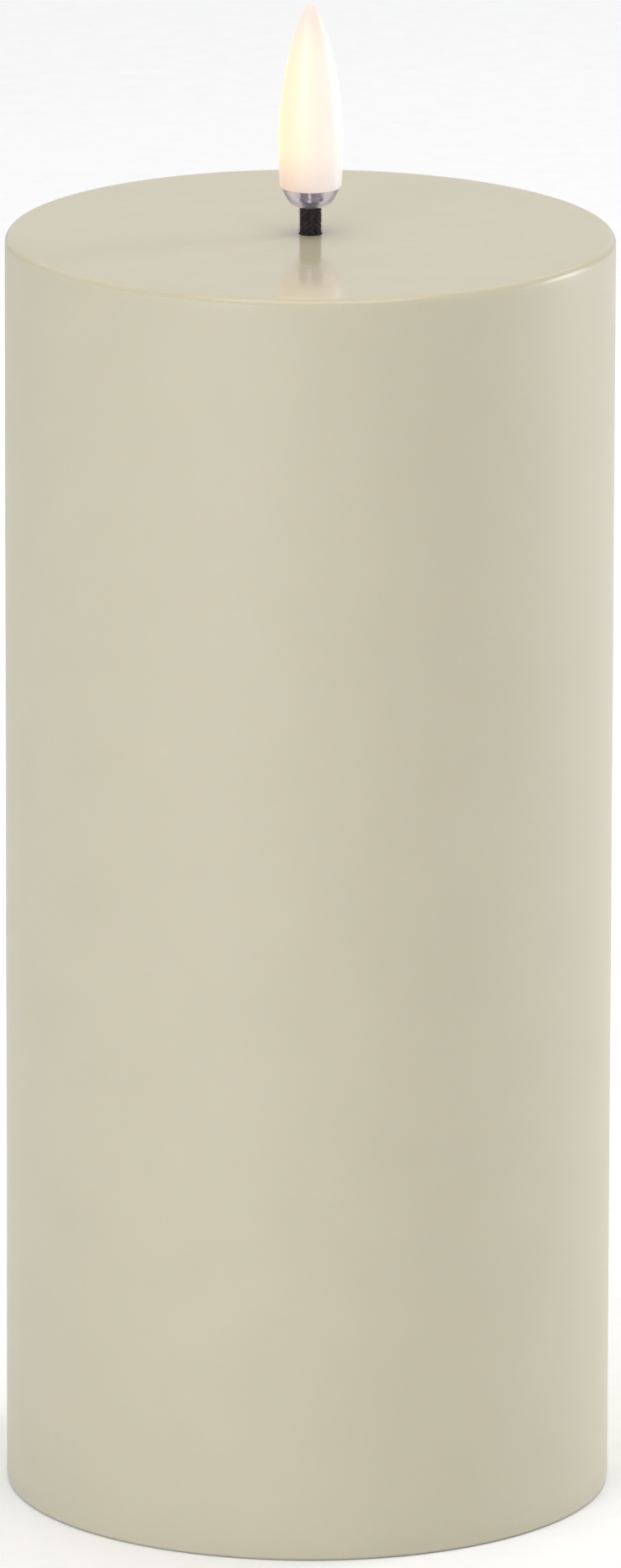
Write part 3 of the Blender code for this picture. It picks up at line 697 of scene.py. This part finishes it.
@dataclass
class Wick:
    """The braided sleeve: yarns that wind both ways round the stem and cross over and under."""

    radius: float = 1.31
    low: float = 146.0
    high: float = CANDLE_H + 3.23
    yarn: float = 0.17
    weave: float = 0.085
    yarns: int = 10
    lay: float = 7.0
    cuts: int = 72
    fibres: int = 170
    curl: float = 1.6

    def strand(self, way: int) -> Piece:
        """Models one yarn: a straight rod, waved in and out, then twisted round the stem.

        Args:
            way: 1 winds one way and -1 the other.

        Returns:
            The yarn, on the side where it starts.
        """
        middle = self.radius - self.yarn - self.weave
        length = self.high - self.low
        name = "yarn_right" if way > 0 else "yarn_left"
        rod = start(name, bpy.ops.mesh.primitive_cylinder_add, vertices=8, radius=mm(self.yarn),
                    depth=mm(length), location=at(middle, 0, self.low + length / 2))
        with editing(rod):
            pick(rod, Part.CORNER, lambda spot, normal: True)
            bpy.ops.transform.resize(value=(1.0, 1.75, 1.0), center_override=at(middle, 0, 0))
            pick(rod, Part.EDGE, lambda spot, run: abs(run.z) > 0.9)
            bpy.ops.mesh.subdivide(number_cuts=self.cuts)
        crossing = self.lay / (2 * self.yarns)
        for corner in rod.data.vertices:
            beat = math.pi * (corner.co.z * 1000 - self.low) / crossing
            corner.co.x += way * mm(self.weave) * math.sin(beat)
        apply(rod, "SIMPLE_DEFORM", deform_method="TWIST", deform_axis="Z",
              angle=way * FULL_TURN * length / self.lay)
        return rod

    def braid(self) -> Piece:
        """Copies the two yarns round the stem and joins them."""
        rods = []
        for way in (1, -1):
            first = self.strand(way)
            rods.append(first)
            for i in range(1, self.yarns):
                copy = copy_of(first)
                copy.data.transform(Matrix.Rotation(FULL_TURN * i / self.yarns, 4, "Z"))
                rods.append(copy)
        made = join(rods, "wick_braid")
        smooth(made, 60)
        return made

    def fuzz(self) -> Piece:
        """Scatters short, fine, curled fibres that lie close along the braid where it shows."""
        draw = random.Random(11)
        fibre = start("wick_fibres", bpy.ops.mesh.primitive_cone_add, vertices=3, radius1=mm(0.011),
                      radius2=mm(0.004), depth=mm(0.6))
        with editing(fibre):
            pick(fibre, Part.EDGE, lambda spot, run: abs(run.z) > 0.9)
            bpy.ops.mesh.subdivide(number_cuts=5)
        for corner in fibre.data.vertices:
            corner.co.x += self.curl / mm(1) * corner.co.z ** 2
        hairs = [fibre]
        for _ in range(self.fibres):
            hairs.append(copy_of(fibre))
        for hair in hairs:
            lean = Matrix.Rotation(draw.uniform(-0.5, 0.5), 4, "Y")
            spin = Matrix.Rotation(draw.uniform(0, FULL_TURN), 4, "X")
            out = Matrix.Translation(at(self.radius - draw.uniform(0.02, 0.1), 0,
                                        draw.uniform(CANDLE_H + 0.1, self.high - 0.15)))
            around = Matrix.Rotation(draw.uniform(0, FULL_TURN), 4, "Z")
            hair.data.transform(around @ out @ spin @ lean)
        return join(hairs, "wick_fibres")

    def fit(self) -> None:
        """Builds and dresses the braid and its fibres."""
        fit(self.braid(), COTTON, Body.CANDLE, "woven_black", "wick_sleeve")
        fit(self.fuzz(), COTTON, Body.CANDLE, "woven_black")


@dataclass
class FlameBulb:
    """The bulb: a clear rounded cup below, a milky pointed shell above, and the diode inside."""

    cup_low: float = CANDLE_H + 3.28
    seam: float = CANDLE_H + 5.55
    widest: float = CANDLE_H + 12.1
    tip: float = CANDLE_H + 27.6
    foot_r: float = 1.34
    seam_r: float = 3.40
    flame_r: float = 3.83
    taper: float = 0.22
    dome: tuple[float, float] = (1.5, 0.6)
    shell: float = 0.5
    cup_wall: float = 0.22
    neck: float = 1.10
    sides: int = 128
    led_low: float = CANDLE_H + 4.05
    led_r: float = 1.5

    def outside(self, height: float) -> float:
        """Gives the milky shell's outer radius at a height: a slight barrel, then a pointed dome."""
        if height >= self.widest:
            rise = (height - self.widest) / (self.tip - self.widest)
            return self.flame_r * (1 - rise ** self.dome[0]) ** self.dome[1]
        drop = (self.widest - height) / (self.widest - self.seam)
        return self.flame_r - self.taper * drop * drop

    def diffuser(self) -> Piece:
        """Models the milky shell with its rounded lower rim."""
        low = self.seam + 0.04
        steps = 56
        tall = self.tip - low - 0.3
        heights = [self.tip - tall * (i / steps) ** 1.6 for i in range(steps + 1)]
        outer = [(self.outside(z), z) for z in heights]
        outer += [(self.seam_r + 0.16, low + 0.16), (self.seam_r + 0.05, low + 0.04), (self.seam_r, low)]
        ceiling = self.tip - self.shell * 2.2
        inner = [(self.seam_r - self.shell, low)]
        inner += [(self.outside(z) - self.shell, z) for z in reversed(heights) if z < ceiling - 0.5]
        return turned("flame_shell", outer + inner + [(0.0, ceiling)], self.sides)

    def cup(self) -> Piece:
        """Models the clear cup, with its curved floor and the hole for the stem."""
        top = self.seam - 0.04
        steps = 24
        outer = []
        for i in range(steps, -1, -1):
            t = (i / steps) ** 1.5
            outer.append((self.foot_r + (self.seam_r - self.foot_r) * t ** 0.42,
                          self.cup_low + (top - self.cup_low) * t))
        rim = self.seam_r - self.cup_wall
        floor = self.cup_low + self.cup_wall
        inner = [(self.neck, self.cup_low), (self.neck, floor)]
        for i in range(1, 15):
            t = (i / 14) ** 1.4
            inner.append((self.neck + (rim - self.neck) * t ** 0.46, floor + (top - floor) * t))
        return turned("bulb_cup", outer + inner, self.sides, closed=True)

    def lens(self) -> Piece:
        """Models the diode's domed body, with a pocket that the lead frame sits in."""
        top = self.led_low + 3.5
        flange = self.led_r + 0.25
        profile = [(0.0, top + self.led_r)] + arc((0, top), self.led_r, 84, 0, 14)
        profile += [(self.led_r, self.led_low + 0.45), (self.led_r + 0.05, self.led_low + 0.4),
                    (flange - 0.04, self.led_low + 0.4), (flange, self.led_low + 0.36),
                    (flange, self.led_low + 0.04), (flange - 0.04, self.led_low), (0.0, self.led_low)]
        body = turned("led_body", profile, 64)
        for x, wide, high in ((-0.575, 0.87, 1.66), (0.575, 1.17, 1.86)):
            combine(body, "DIFFERENCE", block("pocket", (x - wide / 2, x + wide / 2), (-0.51, 0.51),
                                              (self.led_low - 1, self.led_low + high)))
        smooth(body, 30)
        return body

    def fit(self) -> None:
        """Builds and dresses the bulb."""
        fit(self.diffuser(), OPAL, Body.CANDLE, "milky_plastic", "flame_diffuser")
        fit(self.cup(), CLEAR_ACRYLIC, Body.CANDLE, "clear_plastic", "flame_cup")
        fit(self.lens(), CLEAR_EPOXY, Body.CANDLE, "led_epoxy", "led_lens")


@dataclass
class Base:
    """The moulded tray under the candle, its flush battery door, and the screws that hold it."""

    tray_r: float = 32.9
    floor_low: float = 0.8
    floor_top: float = 3.2
    tray_edge: float = 0.4
    spigot_r: float = 31.3
    spigot_wall: float = 1.4
    spigot_top: float = 6.2
    bay: tuple[float, float] = (27.2, 15.0)
    bay_corner: tuple[float, float] = (1.4, 2.6)
    bay_wall: float = 1.3
    bay_ceiling: float = 18.5
    bay_roof: float = 20.0
    door_lip: float = 1.4
    door_gap: float = 0.3
    door_low: float = 0.9
    door_top: float = 2.0
    rebate_top: float = 2.2
    recess: tuple[float, float] = (7.0, 3.6)
    screw_places: tuple[tuple[float, float], ...] = ((18.5, -21.5), (-18.5, -21.5), (0.0, 28.4))
    board_y: float = -22.5
    board_post_x: float = 9.6

    def bay_outline(self, grow: float) -> Profile:
        """Gives the bay's outline with cut-off corners, moved out evenly by a wall or a gap."""
        cut_x, cut_y = self.bay_corner
        slope = math.atan2(cut_x, cut_y)
        x = self.bay[0] + grow
        y = self.bay[1] + grow
        end_x = self.bay[0] - cut_x + grow * math.tan((math.pi / 2 - slope) / 2)
        end_y = self.bay[1] - cut_y + grow * math.tan(slope / 2)
        return [(x, -end_y), (x, end_y), (end_x, y), (-end_x, y), (-x, end_y), (-x, -end_y), (-end_x, -y),
                (end_x, -y)]

    def body_of_tray(self) -> Piece:
        """Models the floor, the locating wall, the battery bay's block and the posts as one solid."""
        foot = self.floor_top - 0.2
        tray = rod("moulded_tray", 0, 0, self.tray_r, self.floor_low, self.floor_top, 192)
        with editing(tray):
            pick(tray, Part.EDGE, lambda spot, run: spot.z < self.floor_low + 0.01)
            bpy.ops.mesh.bevel(offset=mm(self.tray_edge), segments=3, profile=0.5)
        wall = rod("locating_wall", 0, 0, self.spigot_r, foot, self.spigot_top, 192)
        with editing(wall):
            pick(wall, Part.FACE, lambda spot, normal: abs(normal.z) > 0.9)
            bpy.ops.mesh.inset(thickness=mm(self.spigot_wall))
            bpy.ops.mesh.bridge_edge_loops()
        combine(wall, "DIFFERENCE", block("gap", (-40, 40), (-17.5, 17.5), (foot - 1, self.spigot_top + 1)))
        combine(tray, "UNION", wall,
                prism("bay_block", self.bay_outline(self.bay_wall), foot, self.bay_roof))
        for x, y in self.screw_places:
            combine(tray, "UNION", rod("post", x, y, 2.8, foot, self.spigot_top + 0.1, 48))
        for side in (-1, 1):
            combine(tray, "UNION", rod("post", side * self.board_post_x, self.board_y, 2.0, foot, 6.9, 36))
        return tray

    def tray(self) -> Piece:
        """Cuts the bay, the door's seat, the finger recess and all holes into the tray."""
        tray = self.body_of_tray()
        low = self.floor_low - 1
        cutters = [prism("bay_room", self.bay_outline(0), low, self.bay_ceiling),
                   prism("door_seat", self.bay_outline(self.door_lip), low, self.rebate_top),
                   block("thumb_scoop", (27.9, 31.4), (-5, 5), (low, self.rebate_top + 0.01)),
                   block("nose_pocket", (28.75, 29.7), (-3.4, 3.4), (1.2, 2.9)),
                   block("stem_slot", (-3.5, 3.5), (self.board_y - 1.5, self.board_y + 1.5), (low, 4.2)),
                   self.finger_recess()]
        for side in (-1, 1):
            middle = side * 8.0
            cutters.append(block("hook_slot", (-30.3, -26.9), (middle - 3.4, middle + 3.4), (1.3, 3.4)))
            middle = side * 7.6
            cutters.append(block("tab_slot", (-27.4, -26.2), (middle - 1.7, middle + 1.7), (17.5, 21.0)))
            cutters.append(rod("pilot", side * self.board_post_x, self.board_y, 0.9, 3.8, 8.1, 24))
        for x, y in self.screw_places:
            cutters.append(rod("screw_hole", x, y, 1.45, low, self.spigot_top + 1, 32))
            cutters.append(rod("screw_sink", x, y, 2.9, low, 2.5, 64))
        for cutter in cutters:
            combine(tray, "DIFFERENCE", cutter)
        soften(tray, 0.12)
        return tray

    def finger_recess(self) -> Piece:
        """Models the rounded hollow that a fingertip reaches the switch in."""
        x, y = self.recess
        hollow = block("finger_recess", (-x, x), (self.board_y - y, self.board_y + y), (-1.2, 2.0))
        with editing(hollow):
            pick(hollow, Part.EDGE, lambda spot, run: abs(run.z) > 0.9)
            bpy.ops.mesh.bevel(offset=mm(1.2), segments=6, profile=0.5)
            pick(hollow, Part.EDGE, lambda spot, run: spot.z > 1.99)
            bpy.ops.mesh.bevel(offset=mm(0.5), segments=3, profile=0.5)
        return hollow

    def door(self) -> Piece:
        """Models the door with its hooks, cradle ribs, sprung tongue and thumb grooves."""
        low, high = self.door_low, self.door_top
        door = prism("flush_battery_door", self.bay_outline(self.door_lip - self.door_gap), low, high)
        added = [block("rib", (x - 0.6, x + 0.6), (-13, 13), (high - 0.2, high + 0.9)) for x in (-12, 12)]
        added += [block("hook", (-29.9, -28.0), (middle - 3.0, middle + 3.0), (1.5, 2.1))
                  for middle in (-8, 8)]
        added += [block("tongue", (26.0, 29.8), (-4.4, 4.4), (low, 1.8)),
                  block("nose", (28.95, 29.45), (-3.0, 3.0), (1.5, 2.65))]
        combine(door, "UNION", *added)
        gone = [block("slit", (21.0, 29.0), (side * 4.9 - 0.45, side * 4.9 + 0.45), (0, 3))
                for side in (-1, 1)]
        gone += [block("groove", (x, x + 0.5), (-3.4, 3.4), (0, low + 0.3))
                 for x in (24.0, 25.2, 26.4, 27.6)]
        combine(door, "DIFFERENCE", *gone)
        soften(door, 0.1)
        return door

    def screw(self, name: str, x: float, y: float) -> Piece:
        """Models one pan-head screw, head down, with a cross recess and a threaded shank."""
        seat = 2.4
        profile = [(0.0, seat + 12.0), (0.5, seat + 11.2)]
        for i in range(12):
            height = seat + 11.0 - i * 0.85
            profile += [(0.85, height), (1.15, height - 0.3), (0.85, height - 0.6)]
        profile += [(0.85, seat), (2.42, seat), (2.5, seat - 0.08), (2.5, seat - 0.45)]
        profile += [(2.5 * math.cos(a), seat - 0.45 - 0.95 * math.sin(a))
                    for a in (math.radians(d) for d in (15, 30, 45, 60, 75))]
        profile += [(0.0, seat - 1.4)]
        made = turned(name, profile, 48, edge=40.0)
        for wide, deep in ((1.37, 0.28), (0.28, 1.37)):
            arm = block("arm", (-wide, wide), (-deep, deep), (seat - 2.0, seat - 0.6))
            with editing(arm):
                pick(arm, Part.FACE, lambda spot, normal: normal.z > 0.9)
                bpy.ops.transform.resize(value=(0.55, 0.55, 1.0), center_override=at(0, 0, seat - 0.6))
            combine(made, "DIFFERENCE", arm)
        made.data.transform(Matrix.Translation(at(x, y, 0)))
        smooth(made, 40)
        return made

    def fit(self) -> None:
        """Builds and dresses the base."""
        fit(self.tray(), BASE_ABS, Body.CANDLE, "base_plastic", "base_tray")
        fit(self.door(), BASE_ABS, Body.DOOR, "base_plastic", "battery_door")
        for i, (x, y) in enumerate(self.screw_places):
            fit(self.screw(f"tray_screw_{i + 1}", x, y), STEEL, Body.CANDLE, "plated_steel",
                f"base_screw_{i + 1}")


@dataclass
class SlideButton:
    """The outer button of the slide switch, with three grip ridges and a hollow neck."""

    half: tuple[float, float] = (2.4, 2.8)
    low: float = 1.05
    high: float = 1.8
    middle_y: float = -22.5

    def build(self) -> Piece:
        """Models the button from a block, its ridges and its neck."""
        x, y = self.half
        button = block("ridged_slide_button", (-x, x), (self.middle_y - y, self.middle_y + y),
                       (self.low, self.high))
        with editing(button):
            pick(button, Part.EDGE, lambda spot, run: abs(run.z) > 0.9)
            bpy.ops.mesh.bevel(offset=mm(0.5), segments=5, profile=0.5)
        neck = block("neck", (-1.25, 1.25), (self.middle_y - 1.25, self.middle_y + 1.25), (1.5, 3.1))
        ridges = [block("ridge", (place - 0.25, place + 0.25), (self.middle_y - 2.4, self.middle_y + 2.4),
                        (self.low - 0.3, self.low + 0.2)) for place in (-1.5, 0.0, 1.5)]
        combine(button, "UNION", neck, *ridges)
        socket = block("socket", (-0.85, 0.85), (self.middle_y - 0.85, self.middle_y + 0.85), (1.9, 4.0))
        combine(button, "DIFFERENCE", socket)
        soften(button, 0.08)
        return button

    def fit(self) -> None:
        """Builds and dresses the button."""
        fit(self.build(), BASE_ABS, Body.SWITCH, "base_plastic", "switch_button")


@dataclass
class Cells:
    """The two AA cells: a steel can with its nub, inside a shrunk printed sleeve."""

    radius: float = 7.25
    middle_y: float = 7.6
    middle_z: float = 10.6
    tip: float = 26.6
    length: float = 50.5
    nub: tuple[float, float] = (2.75, 1.0)

    def can(self, name: str) -> Piece:
        """Models the can, upright, with its nub, seal ring and dished flat end."""
        top = self.tip - self.nub[1]
        foot = self.tip - self.length
        wide = self.radius - 0.2
        profile = [(0.0, self.tip), (self.nub[0] - 0.3, self.tip), (self.nub[0] - 0.08, self.tip - 0.1),
                   (self.nub[0], self.tip - 0.3), (self.nub[0] + 0.1, top), (5.6, top - 0.1),
                   (5.7, top - 0.35),
                   (6.1, top - 0.35), (6.2, top), (wide - 0.3, top), (wide, top - 0.3), (wide, foot + 0.4),
                   (wide - 0.4, foot), (5.2, foot), (4.9, foot + 0.3), (0.0, foot + 0.3)]
        return turned(name, profile, 64, edge=40.0)

    def sleeve(self, name: str) -> Piece:
        """Models the sleeve, upright, with its lips shrunk over both ends of the can."""
        top = self.tip - self.nub[1] + 0.06
        foot = self.tip - self.length - 0.06
        wide = self.radius
        inner = wide - 0.17
        outer = [(6.3, top), (wide - 0.45, top), (wide - 0.12, top - 0.14), (wide, top - 0.5),
                 (wide, foot + 0.5),
                 (wide - 0.12, foot + 0.14), (wide - 0.45, foot), (6.4, foot)]
        inside = [(6.4, foot + 0.04), (inner - 0.35, foot + 0.04), (inner, foot + 0.5), (inner, top - 0.5),
                  (inner - 0.35, top - 0.04), (6.3, top - 0.04)]
        return turned(name, outer + inside, 64, closed=True, edge=50.0)

    def fit(self) -> None:
        """Builds, lays down and dresses both cells, one each way."""
        for node, side, way in (("battery_front", -1, -1), ("battery_rear", 1, 1)):
            lay = (Matrix.Translation(at(0, side * self.middle_y, self.middle_z))
                   @ Matrix.Rotation(way * math.pi / 2, 4, "Y"))
            place = node.split("_")[1]
            can, sleeve = self.can(f"cell_can_{place}"), self.sleeve(f"cell_sleeve_{place}")
            for piece in (can, sleeve):
                piece.data.transform(lay)
            fit(can, NICKEL, Body.CANDLE, "plated_steel")
            fit(sleeve, JACKET, Body.CANDLE, "cell_jacket", node)


@dataclass
class CarriedOver:
    """The CAD nodes whose shape is right as it is, and the finish of each."""

    finishes: dict[str, Finish] = field(default_factory=lambda: {
        "inner_core": CORE_PP,
        "pcb_screw_1": STEEL, "pcb_screw_2": STEEL, "holder_screw_1": STEEL, "holder_screw_2": STEEL,
        "positive_plate": NICKEL, "negative_plate": NICKEL, "bridge_plate": NICKEL,
        "negative_spring": NICKEL, "bridge_spring": NICKEL,
        "main_pcb": LAMINATE, "timer_chip": CHIP_RESIN, "resistor_1": CHIP_RESIN, "resistor_2": CHIP_RESIN,
        "timer_crystal": TIN, "capacitor": TIN, "switch_can": TIN,
        "switch_base": BLACK_NYLON, "switch_slider": BLACK_NYLON, "wick_holder": BLACK_NYLON,
        "wire_battery_pos": RED_PVC, "wire_led_pos": RED_PVC,
        "wire_battery_neg": BLACK_PVC, "wire_led_neg": BLACK_PVC,
        "led_post": SILVERED, "led_anvil": SILVERED})

    def fit(self) -> None:
        """Dresses each node that no new piece stands for."""
        for name, finish in self.finishes.items():
            dress(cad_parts[name], finish)
        LOG.info("%d CAD nodes dressed", len(self.finishes))


# ---- the studio ----

@dataclass
class Softbox:
    """A soft square light that looks at the middle of the candle."""

    name: str
    bearing: float
    rise: float
    reach: float
    size: tuple[float, float]
    power: float
    colour: str = "#ffffff"

    def place(self, aim: Vector) -> None:
        """Hangs the light at its bearing, in degrees right of the front, and its rise."""
        side, up = math.radians(self.bearing), math.radians(self.rise)
        away = Vector((math.sin(side) * math.cos(up), -math.cos(side) * math.cos(up), math.sin(up)))
        light = bpy.data.lights.new(self.name, "AREA")
        light.shape = "RECTANGLE"
        light.size, light.size_y = self.size
        light.energy = self.power
        light.color = linear(self.colour)[:3]
        lamp = bpy.data.objects.new(self.name, light)
        bpy.context.scene.collection.objects.link(lamp)
        lamp.location = aim + away * self.reach
        lamp.rotation_euler = away.to_track_quat("Z", "Y").to_euler()


@dataclass
class Studio:
    """A pale paper floor, even white light, softboxes, and the camera."""

    camera_at: tuple[float, float, float] = (0.00018, -1.9344, 0.5840)
    tilt: float = 75.547
    roll: float = 0.0027
    lens: float = 386.1
    ambient: float = 0.52
    softboxes: list[Softbox] = field(default_factory=lambda: [
        Softbox("left_strip", -52, 5, 0.9, (0.12, 1.0), 1.2, "#f6f7ff"),
        Softbox("key_softbox", -28, 8, 1.2, (0.4, 0.9), 5.8, "#f6f7ff"),
        Softbox("right_softbox", 112, 8, 1.2, (0.4, 0.9), 9.0, "#f8f9ff"),
        Softbox("top_softbox", 0, 85, 1.2, (0.9, 0.9), 7.4, "#fff2de"),
        Softbox("front_softbox", 0, 12, 1.3, (0.6, 0.8), 1.5),
        Softbox("back_low_softbox", 180, 20, 1.5, (1.4, 0.9), 1.0),
        Softbox("back_high_softbox", 180, 48, 1.5, (1.4, 0.9), 2.2)])

    def build(self) -> None:
        """Sets up the camera, the light and the floor."""
        scene = bpy.context.scene
        camera = bpy.data.cameras.new("camera")
        camera.lens = self.lens
        camera.sensor_width = 36.0
        camera.clip_start = 0.01
        view = bpy.data.objects.new("camera", camera)
        scene.collection.objects.link(view)
        view.matrix_world = (Matrix.Translation(self.camera_at)
                             @ Matrix.Rotation(math.radians(self.tilt), 4, "X")
                             @ Matrix.Rotation(self.roll, 4, "Z"))
        scene.camera = view
        world = bpy.data.worlds.new("even_light")
        world.use_nodes = True
        world.node_tree.nodes["Background"].inputs["Color"].default_value = linear("#ffffff")
        world.node_tree.nodes["Background"].inputs["Strength"].default_value = self.ambient
        scene.world = world
        scene.view_settings.view_transform = "Standard"
        for softbox in self.softboxes:
            softbox.place(Vector((0, 0, 0.08)))
        floor = start("floor", bpy.ops.mesh.primitive_plane_add, size=12.0, location=(0, 0, mm(-0.02)))
        dress(floor, FLOOR)


def main() -> None:
    """Builds the studio and then the candle, from its body up."""
    logging.basicConfig(level=logging.INFO, format="%(name)s: %(message)s")
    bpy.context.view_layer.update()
    Studio().build()
    for assembly in (CandleBody(), Wick(), FlameBulb(), Base(), SlideButton(), Cells(), CarriedOver()):
        assembly.fit()


if __name__ == "__main__":
    main()
